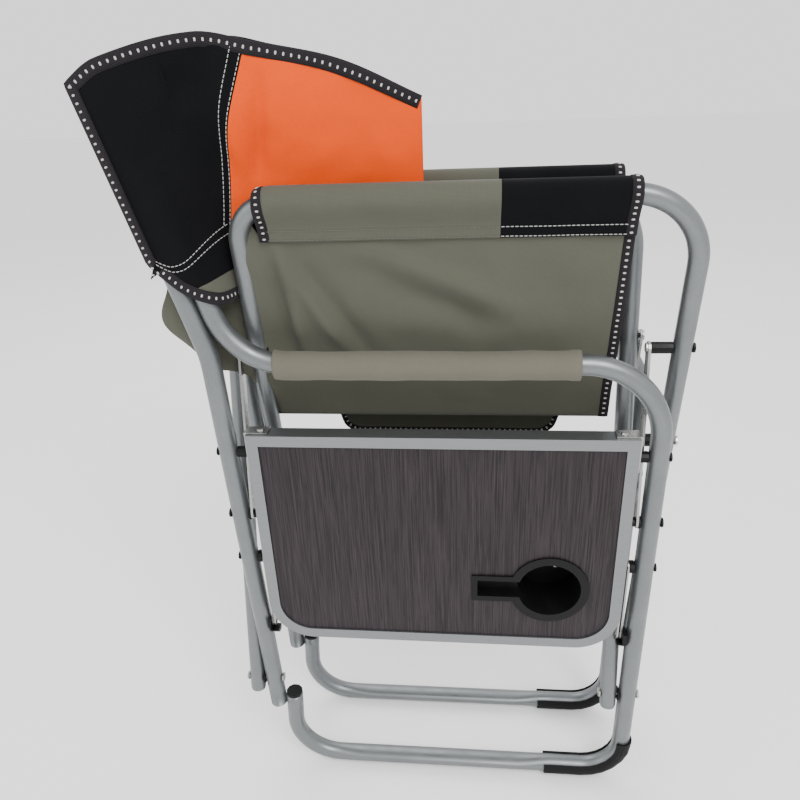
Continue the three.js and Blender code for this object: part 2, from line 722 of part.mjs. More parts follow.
// The cloth channel that slides over each back post.
function backSleeve(side, x) {
  const y = (z) => postBend.y + (z - postBend.z) * Math.tan(postLean);
  const path = new BentPath([at(x, y(790), 790), at(x, y(backTopZ - 10), backTopZ - 10)]);
  const radius = frameTubeRadius + clearance;
  addPiece(`${side}_back_sleeve`, sweep(ringShape(radius + 2.2, radius, 14), path), blackCloth);
}

// ---- assembly ----
for (const [side, x] of [['right', rightX], ['left', leftX]]) {
  addSideFrame(side, x);
  backSleeve(side, x);
  backHalf(side, x, side === 'right' ? 1 : -1, 228);
}
for (const side of ['right', 'left']) {
  addSeatFrame(side);
  seatHalf(side);
  addLinkRivets(side);
}
addFootBolts('right', seatFrames.left);
addFootBolts('left', seatFrames.right);
addCrossBolts();
addLinks('right', rightX);
addLinks('left', leftX);
addSidePocket();
addTable();
addTableMounting();

// The origin is on the floor below the middle of the chair's box.
const box = new THREE.Box3().setFromObject(chair);
chair.position.set(-(box.min.x + box.max.x) / 2, -(box.min.y + box.max.y) / 2, -box.min.z);

export default chair;
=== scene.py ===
"""Looks of the folding camp chair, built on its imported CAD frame.

Design coordinates are millimetres: x from the right side frame's middle plane towards the left frame,
y towards the back of the chair, z up from the floor. place() turns them into the row frame.
"""
import math

import bpy
from mathutils import Matrix, Vector, noise


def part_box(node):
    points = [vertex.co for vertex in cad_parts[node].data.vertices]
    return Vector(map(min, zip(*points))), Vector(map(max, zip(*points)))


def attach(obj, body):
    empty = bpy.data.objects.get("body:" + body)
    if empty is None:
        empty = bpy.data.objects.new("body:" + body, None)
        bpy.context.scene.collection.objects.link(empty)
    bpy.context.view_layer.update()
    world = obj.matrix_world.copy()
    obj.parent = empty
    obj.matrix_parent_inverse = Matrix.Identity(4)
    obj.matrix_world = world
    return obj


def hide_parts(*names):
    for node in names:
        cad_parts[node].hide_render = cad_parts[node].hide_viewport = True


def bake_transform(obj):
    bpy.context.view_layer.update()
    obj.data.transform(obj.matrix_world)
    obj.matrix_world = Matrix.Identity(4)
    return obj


# ---- driving dimensions, in millimetres ----
FRAME_RADIUS = 11.0
SEAT_RADIUS = 10.0
TUBE_WALL = 1.4
MOUTH_DEPTH = 28.0
FRONT_LEG_Y = -227.0
ARM_Z = 603.0
BOOT_THICKNESS = 2.6
BOOT_REAR_Y = -128.0
PRESS_FRONT_Y = -130.0
PRESS_REAR_Y = 160.0
PRESS_FADE = 30.0
HOOP_REAR_Y = 216.0
HOOP_POST_TOP_Z = 762.0
POST_LEAN = math.radians(15)
POST_BEND = (250.5, 612.0)
REAR_LEG_FOOT = (233.0, 105.0)
REAR_POST_TOP_Z = 884.0

PIVOT_Z = 150.0
LOWER_ARM = 343.0
UPPER_ARM = 284.5
FOLDED_TILT = math.radians(9)
SEAT_FRAME_WIDTH = 461.5
FRONT_SPLAY = 6.0
FRONT_CORNER_RADIUS = 72.0
REAR_CORNER_RADIUS = 42.0

SPACING = 2 * LOWER_ARM * math.sin(FOLDED_TILT)
MIDDLE_X = SPACING / 2
RAIL_X = MIDDLE_X - UPPER_ARM * math.sin(FOLDED_TILT)
RAIL_Z = PIVOT_Z + (LOWER_ARM + UPPER_ARM) * math.cos(FOLDED_TILT)

SLEEVE_SEAM_Z = 731.0
SEAT_FRONT_Y = -181.0
SEAT_REAR_Y = 182.0
SEAT_BLACK_Y = -56.0
SEAT_HALF_WIDTH = 254.5
CREASE_Z = RAIL_Z - math.sqrt(SEAT_HALF_WIDTH ** 2 - (MIDDLE_X - RAIL_X) ** 2)
# Each seat frame's side, the x of its feet, the way it leans, the y of its front leg and its rear splay.
SEAT_FRAMES = [("left", 0.0, 1, -203.5, 16), ("right", SPACING, -1, -250.5, 5)]

BACK_CREASE_Y = 20.8
ARM_COVER_FRONT_Y = -138.0
ARM_COVER_REAR_Y = 180.0
POCKET_FRONT_Y = -134.0
POCKET_REAR_Y = 138.0
POCKET_TOP_Z = 592.0
POCKET_LOW_Z = 462.0
POCKET_CORNER = 26.0

HEM = 11.0
STITCH_SPACING = 4.4
STITCH_SIZE = (3.3, 0.8, 0.35)
DASH_SIZE = (3.1, 1.9, 0.5)
TUBE_SIDES = 28

CAMERA_LENS = 31.14
CAMERA_PLACE = (-665.8, -30.6, 875.0)
CAMERA_TURN = (-0.1175, 0.4362, -0.0444)

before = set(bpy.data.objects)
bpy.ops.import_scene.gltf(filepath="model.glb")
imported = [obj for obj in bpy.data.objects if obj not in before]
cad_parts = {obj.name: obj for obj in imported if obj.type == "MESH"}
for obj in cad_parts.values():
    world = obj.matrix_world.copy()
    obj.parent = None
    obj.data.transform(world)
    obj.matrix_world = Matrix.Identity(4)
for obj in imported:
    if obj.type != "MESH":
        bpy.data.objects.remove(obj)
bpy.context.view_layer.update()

RIM_LOW, RIM_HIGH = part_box("table_rim")
ORIGIN = Vector((RIM_LOW.x + 0.018, RIM_LOW.y + 0.203, 0))


def place(x, y, z):
    return ORIGIN + Vector((x, y, z)) / 1000


# ---- finishes ----
class Finish:
    """A Principled material with short ways to add procedural detail."""

    def __init__(self, name, color, roughness, metallic=0.0, **values):
        self.material = bpy.data.materials.new(name)
        self.material.use_nodes = True
        self.nodes = self.material.node_tree.nodes
        self.links = self.material.node_tree.links
        self.shader = self.nodes["Principled BSDF"]
        self.shader.inputs["Base Color"].default_value = (*color, 1)
        self.shader.inputs["Roughness"].default_value = roughness
        self.shader.inputs["Metallic"].default_value = metallic
        for socket, value in values.items():
            self.shader.inputs[socket.replace("_", " ")].default_value = value
        self.coordinates = self.nodes.new("ShaderNodeTexCoord")
        self.height = None

    def mapped(self, source="Object", scale=(1, 1, 1), turn=0.0):
        mapping = self.nodes.new("ShaderNodeMapping")
        mapping.inputs["Scale"].default_value = scale
        mapping.inputs["Rotation"].default_value = (0, 0, turn)
        self.links.new(self.coordinates.outputs[source], mapping.inputs["Vector"])
        return mapping.outputs["Vector"]

    def noise(self, vector, scale, detail=3.0, roughness=0.55, distortion=0.0):
        node = self.nodes.new("ShaderNodeTexNoise")
        node.inputs["Scale"].default_value = scale
        node.inputs["Detail"].default_value = detail
        node.inputs["Roughness"].default_value = roughness
        node.inputs["Distortion"].default_value = distortion
        self.links.new(vector, node.inputs["Vector"])
        return node.outputs["Fac"]

    def wave(self, vector, scale, direction="X", distortion=0.0):
        node = self.nodes.new("ShaderNodeTexWave")
        node.bands_direction = direction
        node.inputs["Scale"].default_value = scale
        node.inputs["Distortion"].default_value = distortion
        self.links.new(vector, node.inputs["Vector"])
        return node.outputs["Fac"]

    def math(self, operation, first, second):
        node = self.nodes.new("ShaderNodeMath")
        node.operation = operation
        for socket, value in zip(node.inputs, (first, second)):
            if isinstance(value, (int, float)):
                socket.default_value = value
            else:
                self.links.new(value, socket)
        return node.outputs[0]

    def ramp(self, value, low, high, low_at=0.0, high_at=1.0):
        node = self.nodes.new("ShaderNodeMapRange")
        node.inputs["From Min"].default_value = low_at
        node.inputs["From Max"].default_value = high_at
        node.inputs["To Min"].default_value = low
        node.inputs["To Max"].default_value = high
        self.links.new(value, node.inputs["Value"])
        return node.outputs["Result"]

    def blend_color(self, factor, first, second):
        node = self.nodes.new("ShaderNodeMix")
        node.data_type = "RGBA"
        self.links.new(factor, node.inputs[0])
        for socket, value in ((node.inputs[6], first), (node.inputs[7], second)):
            if isinstance(value, tuple):
                socket.default_value = (*value, 1)
            else:
                self.links.new(value, socket)
        return node.outputs[2]

    def color(self, output):
        self.links.new(output, self.shader.inputs["Base Color"])

    def rough(self, output):
        self.links.new(output, self.shader.inputs["Roughness"])

    def bump(self, height, distance, strength=1.0):
        node = self.nodes.new("ShaderNodeBump")
        node.inputs["Distance"].default_value = distance
        node.inputs["Strength"].default_value = strength
        self.links.new(height, node.inputs["Height"])
        if self.height is not None:
            self.links.new(self.height, node.inputs["Normal"])
        self.height = node.outputs["Normal"]
        self.links.new(self.height, self.shader.inputs["Normal"])


def silver_paint():
    finish = Finish("silver_powder_coat", (0.33, 0.35, 0.36), 0.36, 0.75)
    where = finish.mapped()
    flakes = finish.noise(where, 900, 2)
    clouds = finish.noise(where, 14, 4)
    speckled = finish.blend_color(flakes, (0.135, 0.145, 0.150), (0.215, 0.225, 0.232))
    finish.color(finish.blend_color(finish.ramp(clouds, 0, 0.35, 0.45, 0.75), speckled, (0.12, 0.128, 0.134)))
    finish.rough(finish.ramp(finish.noise(where, 60, 5), 0.30, 0.46, 0.3, 0.7))
    finish.bump(flakes, 0.00006, 0.5)
    finish.bump(finish.noise(where, 160, 3), 0.0002, 0.25)
    return finish.material


def brushed_aluminium():
    finish = Finish("table_rim_aluminium", (0.55, 0.56, 0.57), 0.35, 0.85)
    where = finish.mapped(scale=(220, 6, 220))
    lines = finish.noise(where, 8, 5, 0.7)
    finish.color(finish.blend_color(lines, (0.15, 0.157, 0.160), (0.26, 0.268, 0.275)))
    finish.rough(finish.ramp(lines, 0.28, 0.46, 0.3, 0.7))
    finish.bump(lines, 0.0001, 0.3)
    return finish.material


def bright_steel():
    finish = Finish("zinc_plated_steel", (0.55, 0.55, 0.54), 0.28, 0.95)
    where = finish.mapped()
    clouds = finish.noise(where, 70, 5)
    finish.color(finish.blend_color(clouds, (0.26, 0.26, 0.255), (0.48, 0.48, 0.47)))
    finish.rough(finish.ramp(clouds, 0.20, 0.42, 0.3, 0.7))
    finish.bump(finish.noise(where, 500, 3), 0.0001, 0.3)
    return finish.material


def moulded(name, color, roughness, grain):
    finish = Finish(name, color, roughness, Specular_IOR_Level=0.16)
    where = finish.mapped()
    fine = finish.noise(where, 1400, 2)
    dust = finish.noise(where, 45, 6)
    light = tuple(1.6 * c + 0.0015 for c in color)
    finish.color(finish.blend_color(finish.ramp(dust, 0, 0.5, 0.5, 0.8), color, light))
    finish.rough(finish.ramp(dust, roughness - 0.08, roughness + 0.12, 0.3, 0.7))
    finish.bump(fine, 0.0002, grain)
    return finish.material


def laminate():
    """Dark wood-look board with its grain running up and down."""
    finish = Finish("wood_look_laminate", (0.07, 0.055, 0.06), 0.42, Specular_IOR_Level=0.22)
    grain_place = finish.mapped(scale=(1, 620, 12))
    grain = finish.noise(grain_place, 1, 6, 0.62, 0.5)
    wide = finish.noise(finish.mapped(scale=(1, 60, 2.2)), 1, 3, 0.5, 0.3)
    pores = finish.noise(finish.mapped(scale=(1, 900, 22)), 1, 2, 0.5)
    streaks = finish.ramp(grain, 0, 1, 0.40, 0.62)
    base = finish.blend_color(streaks, (0.0062, 0.0045, 0.0054), (0.033, 0.0245, 0.0285))
    toned = finish.blend_color(finish.ramp(wide, 0, 0.45, 0.4, 0.7), base, (0.0165, 0.0127, 0.0140))
    finish.color(finish.blend_color(finish.ramp(pores, 0, 0.75, 0.58, 0.72), toned, (0.004, 0.003, 0.0035)))
    finish.rough(finish.ramp(grain, 0.36, 0.52, 0.3, 0.7))
    finish.bump(pores, 0.0002, 0.35)
    finish.bump(grain, 0.0003, 0.2)
    return finish.material


def woven(name, color, thread_mm=1.1, contrast=0.5, roughness=0.82, sheen=0.08, gloss=0.22):
    """Coated polyester canvas: a plain weave along the cloth, soft mottling and light creases."""
    finish = Finish(name, color, roughness, Sheen_Weight=sheen, Sheen_Roughness=0.5, Specular_IOR_Level=gloss)
    scale = 2 * math.pi * 1000 / thread_mm / 20
    where = finish.mapped("UV")
    warp = finish.wave(where, scale, "X")
    weft = finish.wave(where, scale, "Y")
    checks = finish.math("MULTIPLY", warp, weft)
    slubs = finish.noise(finish.mapped("UV", (1, 14, 1)), 120, 3)
    mottle = finish.noise(where, 18, 5, 0.6)
    dark = tuple(c * (1 - contrast * 0.55) for c in color)
    light = tuple(min(1, c * (1 + contrast * 0.35)) for c in color)
    threads = finish.blend_color(checks, dark, light)
    faded = finish.blend_color(finish.ramp(mottle, 0, 0.5, 0.35, 0.75), threads, color)
    finish.color(finish.blend_color(finish.ramp(slubs, 0, 0.35, 0.5, 0.8), faded, light))
    finish.rough(finish.ramp(mottle, roughness - 0.08, roughness + 0.08, 0.3, 0.7))
    finish.bump(checks, 0.0004, 0.55)
    finish.bump(mottle, 0.003, 0.25)
    return finish.material


def thread(name, color):
    finish = Finish(name, color, 0.7, Sheen_Weight=0.2)
    twist = finish.wave(finish.mapped(turn=0.8), 700, "X", 1.0)
    finish.color(finish.blend_color(twist, tuple(c * 0.6 for c in color), color))
    finish.bump(twist, 0.0002, 0.4)
    return finish.material


SILVER = silver_paint()
ALUMINIUM = brushed_aluminium()
STEEL = bright_steel()
RUBBER = moulded("boot_rubber", (0.004, 0.004, 0.0045), 0.62, 0.5)
PLASTIC = moulded("black_plastic", (0.004, 0.004, 0.0045), 0.42, 0.25)
LAMINATE = laminate()
OLIVE = woven("olive_canvas", (0.082, 0.083, 0.062))
OLIVE_LIGHT = woven("olive_arm_canvas", (0.128, 0.119, 0.090))
BLACK = woven("black_canvas", (0.0030, 0.0032, 0.0042), contrast=0.6, sheen=0.02, gloss=0.08)
ORANGE = woven("orange_canvas", (0.78, 0.070, 0.001), contrast=0.3, sheen=0.0, gloss=0.08)
BINDING = woven("binding_tape", (0.018, 0.016, 0.018), thread_mm=1.6, contrast=0.9, sheen=0.04, gloss=0.1)
WHITE_THREAD = thread("white_thread", (0.42, 0.42, 0.40))
DARK_THREAD = thread("olive_thread", (0.10, 0.095, 0.07))
REFLECTIVE = thread("reflective_dash", (0.50, 0.49, 0.47))


# ---- mesh helpers ----
def make_object(name, vertices, faces, material, uvs=None, smooth=True):
    """vertices are in the row frame; uvs holds one pair per vertex, in metres along the surface."""
    mesh = bpy.data.meshes.new(name)
    mesh.from_pydata([tuple(v) for v in vertices], [], faces)
    layer = mesh.uv_layers.new(name="cloth")
    if uvs is not None:
        for loop in mesh.loops:
            layer.data[loop.index].uv = uvs[loop.vertex_index]
    mesh.materials.append(material)
    mesh.validate()
    mesh.polygons.foreach_set("use_smooth", [smooth] * len(mesh.polygons))
    obj = bpy.data.objects.new(name, mesh)
    bpy.context.scene.collection.objects.link(obj)
    return obj


def lengths_along(points):
    total = [0.0]
    for a, b in zip(points, points[1:]):
        total.append(total[-1] + (Vector(b) - Vector(a)).length)
    return total


def grid_object(name, rows, material, closed=False):
    """A surface through rows of points; closed joins each row's last point to its first."""
    count = len(rows[0])
    vertices = [p for row in rows for p in row]
    down = lengths_along([row[count // 2] for row in rows])
    across = lengths_along(rows[len(rows) // 2])
    uvs = [(across[j], down[i]) for i in range(len(rows)) for j in range(count)]
    faces = []
    for i in range(len(rows) - 1):
        for j in range(count if closed else count - 1):
            k = (j + 1) % count
            faces.append((i * count + j, i * count + k, (i + 1) * count + k, (i + 1) * count + j))
    return make_object(name, vertices, faces, material, uvs)


def bent_path(corners, step_degrees=4.0, straight_step=None):
    """Points along a path with round bends; corners are (point, bend radius), in design millimetres."""
    points = []
    for i, (corner, radius) in enumerate(corners):
        corner = Vector(corner)
        if not radius:
            points.append(corner)
            continue
        arriving = (corner - Vector(corners[i - 1][0])).normalized()
        leaving = (Vector(corners[i + 1][0]) - corner).normalized()
        turn = arriving.angle(leaving)
        centre = corner + (leaving - arriving).normalized() * radius / math.cos(turn / 2)
        start = corner - arriving * radius * math.tan(turn / 2)
        axis = arriving.cross(leaving).normalized()
        steps = max(2, round(math.degrees(turn) / step_degrees))
        for step in range(steps + 1):
            turned = Matrix.Rotation(turn * step / steps, 3, axis) @ (start - centre)
            points.append(centre + turned)
    if not straight_step:
        return points
    dense = [points[0]]
    for a, b in zip(points, points[1:]):
        pieces = max(1, round((b - a).length / straight_step))
        dense += [a.lerp(b, (k + 1) / pieces) for k in range(pieces)]
    return dense


def path_frames(points):
    """A side and an up direction at each point of a path, carried along without twisting."""
    tangents = []
    for i in range(len(points)):
        before, after = points[max(i - 1, 0)], points[min(i + 1, len(points) - 1)]
        tangents.append((after - before).normalized())
    guide = Vector((1, 0, 0))
    if abs(tangents[0].dot(guide)) > 0.8:
        guide = Vector((0, 0, 1))
    side = (guide - tangents[0] * guide.dot(tangents[0])).normalized()
    frames = []
    for tangent in tangents:
        side = (side - tangent * side.dot(tangent)).normalized()
        frames.append((side, tangent.cross(side)))
    return frames


def sweep_rings(points, radius, shape=None):
    """Rings of points round a path; shape gives the ring's stretch sideways and upwards at a point."""
    rings = []
    for point, (side, up) in zip(points, path_frames(points)):
        wide, high = shape(point) if shape else (1.0, 1.0)
        rings.append([
            point + (side * math.cos(a) * wide + up * math.sin(a) * high) * radius
            for a in (2 * math.pi * k / TUBE_SIDES for k in range(TUBE_SIDES))
        ])
    return rings


def tube(name, points, radius, material, open_ends=(True, True), shape=None):
    """A round tube; an open end shows the wall's thickness and a dark inside."""
    rings = sweep_rings(points, radius, shape)
    inner = radius - TUBE_WALL
    start = (points[0] - points[1]).normalized()
    end = (points[-1] - points[-2]).normalized()

    def mouth(ring, centre, outward, is_open):
        def shrink(share, out):
            return [centre + (p - centre) * share + outward * out for p in ring]

        if not is_open:
            return [shrink(0.92, radius * 0.36), shrink(0.6, radius * 0.62), shrink(0.02, radius * 0.72)]
        return [shrink(1.0, 0.0), shrink((radius + inner) / 2 / radius, 0.5), shrink(inner / radius, 0.0),
                shrink(inner / radius, -MOUTH_DEPTH), shrink(0.02, -MOUTH_DEPTH)]

    first = mouth(rings[0], points[0], start, open_ends[0])
    last = mouth(rings[-1], points[-1], end, open_ends[1])
    rows = [[place(*p) for p in ring] for ring in first[::-1] + rings + last]
    return grid_object(name, rows, material, closed=True)


def add_bevel(obj, width_mm, segments=3, angle=30):
    bevel = obj.modifiers.new("edges", "BEVEL")
    bevel.width = width_mm / 1000
    bevel.segments = segments
    bevel.limit_method = "ANGLE"
    bevel.angle_limit = math.radians(angle)
    bevel.harden_normals = False


def refinish(node, material, bevel_mm=0.0, segments=2):
    """Shows a CAD node with its real finish and, if asked, rounded edges."""
    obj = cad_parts[node]
    obj.data.materials.clear()
    obj.data.materials.append(material)
    if bevel_mm:
        obj.data.polygons.foreach_set("use_smooth", [True] * len(obj.data.polygons))
        add_bevel(obj, bevel_mm, segments)
        normals = obj.modifiers.new("normals", "WEIGHTED_NORMAL")
        normals.keep_sharp = True
    return obj


# ---- metal frame ----
def runner_z(y):
    return FRAME_RADIUS + BOOT_THICKNESS * (HOOP_REAR_Y - y) / (HOOP_REAR_Y - BOOT_REAR_Y)


def post_y(z):
    return POST_BEND[0] + (z - POST_BEND[1]) * math.tan(POST_LEAN)


def hoop_post_y(z):
    gap = 2 * FRAME_RADIUS + 0.6
    foot = (POST_BEND[0] - gap * math.cos(POST_LEAN), POST_BEND[1] + gap * math.sin(POST_LEAN))
    return foot[0] + (z - foot[1]) * math.tan(POST_LEAN)


def hoop_points(x):
    return bent_path([
        ((x, hoop_post_y(HOOP_POST_TOP_Z), HOOP_POST_TOP_Z), 0),
        ((x, hoop_post_y(ARM_Z), ARM_Z), 80),
        ((x, FRONT_LEG_Y, ARM_Z), 85),
        ((x, FRONT_LEG_Y, runner_z(FRONT_LEG_Y)), 50),
        ((x, HOOP_REAR_Y, runner_z(HOOP_REAR_Y)), 60),
        ((x, 210, 122), 0),
    ], straight_step=14)


def runner_shape(point):
    """The middle of the floor runner is pressed flat, fading out over PRESS_FADE at each end."""
    if point.z < 16 and PRESS_FRONT_Y < point.y < PRESS_REAR_Y:
        inward = min(point.y - PRESS_FRONT_Y, PRESS_REAR_Y - point.y) / PRESS_FADE
        press = min(1.0, max(0.0, inward))
        return 1 + 0.15 * press, 1 - 0.30 * press
    return 1.0, 1.0


def make_side_frame(side, x):
    body = f"{side}_side_frame"
    hoop = tube(f"{side}_hoop_tube", hoop_points(x), FRAME_RADIUS, SILVER, shape=runner_shape)
    leg = tube(f"{side}_rear_leg_tube", bent_path([
        ((x, *REAR_LEG_FOOT), 0),
        ((x, *POST_BEND), 110),
        ((x, post_y(REAR_POST_TOP_Z), REAR_POST_TOP_Z), 0),
    ], straight_step=40), FRAME_RADIUS, SILVER)
    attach(hoop, body)
    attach(leg, body)
    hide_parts(f"{side}_side_hoop")
    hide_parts(f"{side}_rear_leg")


def seat_point(foot_x, toward, reach):
    return foot_x + toward * reach * math.sin(FOLDED_TILT), PIVOT_Z + reach * math.cos(FOLDED_TILT)


def seat_frame_points(foot_x, toward, front_y, rear_splay):
    foot = seat_point(foot_x, toward, -15)
    rail = seat_point(foot_x, toward, LOWER_ARM + UPPER_ARM)
    rear_y = front_y + SEAT_FRAME_WIDTH
    return bent_path([
        ((foot[0], front_y, foot[1]), 0),
        ((rail[0], front_y + FRONT_SPLAY, rail[1]), FRONT_CORNER_RADIUS),
        ((rail[0], rear_y - rear_splay, rail[1]), REAR_CORNER_RADIUS),
        ((foot[0], rear_y, foot[1]), 0),
    ], straight_step=40)


def make_seat_frame(side, foot_x, toward, front_y, rear_splay):
    points = seat_frame_points(foot_x, toward, front_y, rear_splay)
    piece = tube(f"{side}_seat_tube", points, SEAT_RADIUS, SILVER, open_ends=(False, False))
    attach(piece, f"{side}_seat_u")
    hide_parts(f"{side}_seat_frame")


for frame_side, frame_x in (("right", 0.0), ("left", SPACING)):
    make_side_frame(frame_side, frame_x)
for seat_frame in SEAT_FRAMES:
    make_seat_frame(*seat_frame)


# ---- fasteners and fittings, kept from the solids with their own finishes ----
for node_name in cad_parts:
    if node_name.endswith(("_foot_bolt", "_cross_bolt")):
        refinish(node_name, STEEL, 0.8)
    elif node_name.endswith(("_link_bolt", "_link_rivet", "_hinge_pin", "_stay_bolt", "_washer", "_spacer")):
        refinish(node_name, PLASTIC, 0.7)
    elif node_name.endswith(("_link", "_stay_lower", "_stay_upper", "_bracket")):
        refinish(node_name, STEEL, 0.4)
    elif node_name.endswith(("_catch", "_end_plug")):
        refinish(node_name, PLASTIC, 0.9)
    elif node_name.endswith("_boot"):
        refinish(node_name, RUBBER, 0.8)
refinish("table_rim", ALUMINIUM, 1.6, 3)
refinish("table_board", LAMINATE, 0.3)
refinish("cup_holder", PLASTIC, 0.8)


# ---- cloth helpers ----
def smooth_step(value, low, high):
    share = min(1.0, max(0.0, (value - low) / (high - low)))
    return share * share * (3 - 2 * share)


def through(keys, at):
    """The value at one place on a smooth curve through (place, value) keys, with rising places."""
    if at <= keys[0][0]:
        return keys[0][1]
    if at >= keys[-1][0]:
        return keys[-1][1]
    i = max(k for k in range(len(keys) - 1) if keys[k][0] <= at)

    def slope(k):
        a, b = keys[max(k - 1, 0)], keys[min(k + 1, len(keys) - 1)]
        return (b[1] - a[1]) / (b[0] - a[0])

    (x0, y0), (x1, y1) = keys[i], keys[i + 1]
    width = x1 - x0
    t = (at - x0) / width
    return ((2 * t ** 3 - 3 * t ** 2 + 1) * y0 + (t ** 3 - 2 * t ** 2 + t) * width * slope(i)
            + (3 * t ** 2 - 2 * t ** 3) * y1 + (t ** 3 - t ** 2) * width * slope(i + 1))


def ridge(y, z, start, end, width, height):
    """The rise of a soft fold that runs from start to end, both (y, z), and fades at its ends."""
    along = Vector(end) - Vector(start)
    share = (Vector((y, z)) - Vector(start)).dot(along) / along.length_squared
    nearest = Vector(start) + along * min(1.0, max(0.0, share))
    distance = (Vector((y, z)) - nearest).length
    fade = smooth_step(share, -0.15, 0.25) * (1 - smooth_step(share, 0.7, 1.15))
    return height * math.exp(-(distance / width) ** 2) * fade


def ripple(point, size_mm, height):
    return height * noise.noise(Vector(point) / size_mm)


class Panel:
    """A piece of cloth as a grid of design points, which seams, stitches and trim can follow."""

    def __init__(self, name, shape, columns, rows, closed=False):
        self.name = name
        self.closed = closed
        self.grid = [[Vector(shape(j / columns, i / rows)) for j in range(columns + (not closed))]
                     for i in range(rows + 1)]
        self.columns = columns
        self.rows = rows

    def point(self, u, v):
        x, y = min(max(u, 0), 1) * self.columns, min(max(v, 0), 1) * self.rows
        j, i = min(int(x), self.columns - 1), min(int(y), self.rows - 1)
        a, b, k = x - j, y - i, (j + 1) % len(self.grid[0])
        top = self.grid[i][j].lerp(self.grid[i][k], a)
        return top.lerp(self.grid[i + 1][j].lerp(self.grid[i + 1][k], a), b)

    def normal(self, u, v):
        step = 0.012
        across = self.point(u + step, v) - self.point(u - step, v)
        down = self.point(u, v + step) - self.point(u, v - step)
        return across.cross(down).normalized()

    def build(self, materials, pick=None, thickness=1.2):
        rows = [[place(*p) for p in row] for row in self.grid]
        obj = grid_object(self.name, rows, materials[0], self.closed)
        for material in materials[1:]:
            obj.data.materials.append(material)
        if pick:
            for face in obj.data.polygons:
                i, j = divmod(face.index, self.columns)
                face.material_index = pick((j + 0.5) / self.columns, (i + 0.5) / self.rows)
        solid = obj.modifiers.new("cloth_thickness", "SOLIDIFY")
        solid.thickness = thickness / 1000
        solid.offset = 0
        return obj


def even_steps(points, spacing, first=0.5):
    """Points and directions at even steps along a path of (point, normal) pairs."""
    lengths = lengths_along([p for p, _ in points])
    result, target = [], spacing * first
    for i in range(len(points) - 1):
        while lengths[i] <= target < lengths[i + 1]:
            share = (target - lengths[i]) / (lengths[i + 1] - lengths[i])
            (a, na), (b, nb) = points[i], points[i + 1]
            result.append((a.lerp(b, share), (b - a).normalized(), na.lerp(nb, share).normalized()))
            target += spacing
    return result


def marks(name, spots, length, width, height, material):
    """Many small raised marks in one mesh: threads or reflective dashes; a spot is (centre, along, up)."""
    vertices, faces = [], []
    outline = [(-0.5, -0.3), (-0.3, -0.5), (0.3, -0.5), (0.5, -0.3),
               (0.5, 0.3), (0.3, 0.5), (-0.3, 0.5), (-0.5, 0.3)]
    for centre, along, up in spots:
        side = up.cross(along).normalized()
        base = len(vertices)
        for share, lift in ((1.0, -0.5), (1.0, 0.5), (0.55, 1.0)):
            for a, b in outline:
                spot = centre + along * a * length * share + side * b * width * share + up * lift * height
                vertices.append(place(*spot))
        for ring in (0, 8):
            for k in range(8):
                m = (k + 1) % 8
                faces.append((base + ring + k, base + ring + m, base + ring + 8 + m, base + ring + 8 + k))
        faces.append(tuple(base + 16 + k for k in range(8)))
    return make_object(name, vertices, faces, material)


def stitch(name, panel, path, material, lift=1.0, back=False):
    """A row of thread stitches along a path of (u, v) places on a panel."""
    sign = -1 if back else 1
    points = []
    for u, v in path:
        up = panel.normal(u, v) * sign
        points.append((panel.point(u, v) + up * lift, up))
    return marks(name, even_steps(points, STITCH_SPACING), *STITCH_SIZE, material)


def bind(name, panel, path, width=9.0, dash_spacing=6.6):
    """Edge tape folded over the cloth's edge along a path of (u, v) places, and its pale dashes."""
    centres = []
    for u, v in path:
        p, n = panel.point(u, v), panel.normal(u, v)
        toward = panel.point(u + (0.5 - u) * 0.06, v + (0.5 - v) * 0.06) - p
        centres.append((p, n, toward))
    rings, front, rear = [], [], []
    section = [(width, 1.0), (width * 0.6, 1.55), (width * 0.2, 1.6), (-0.6, 1.3), (-1.6, 0.5),
               (-1.6, -0.5), (-0.6, -1.3), (width * 0.2, -1.6), (width * 0.6, -1.55), (width, -1.0)]
    for i, (p, n, toward) in enumerate(centres):
        along = (centres[min(i + 1, len(centres) - 1)][0] - centres[max(i - 1, 0)][0]).normalized()
        inward = n.cross(along).normalized()
        if inward.dot(toward) < 0:
            inward = -inward
        rings.append([p + inward * a + n * b for a, b in section])
        front.append((p + inward * width * 0.45 + n * 1.7, n))
        rear.append((p + inward * width * 0.45 - n * 1.7, -n))
    rows = [[place(*q) for q in ring] for ring in rings]
    tape = grid_object(name, rows, BINDING, closed=True)
    spots = []
    for side in (front, rear):
        spots += [(c, up.cross(along).normalized(), up) for c, along, up in even_steps(side, dash_spacing)]
    return [tape, marks(f"{name}_dashes", spots, *DASH_SIZE, REFLECTIVE)]


def line(start, end, steps=60):
    return [(start[0] + (end[0] - start[0]) * k / steps, start[1] + (end[1] - start[1]) * k / steps)
            for k in range(steps + 1)]


def mirrored(side, shape):
    """The right half's shape, or its mirror image for the left half."""
    if side == "right":
        return shape

    def other(u, v):
        x, y, z = shape(u, v)
        return SPACING - x, y, z
    return other


# ---- seat ----
SEAM_X = RAIL_X + 4.0
CREASE_X = MIDDLE_X - 0.62
# Each soft fold runs from one (y, z) to another and has a width and a height; a hollow is below zero.
SEAT_FOLDS = [
    ((112, 735), (-70, 655), 15, 8.0),
    ((90, 708), (-60, 632), 18, -7.0),
    ((176, 730), (96, 590), 11, 7.5),
    ((158, 720), (76, 590), 13, -6.0),
    ((168, 735), (150, 560), 7, 5.5),
    ((180, 735), (166, 590), 7, -4.5),
    ((-60, 600), (-150, 560), 16, 4.0),
    ((20, 560), (-60, 545), 12, 3.5),
]


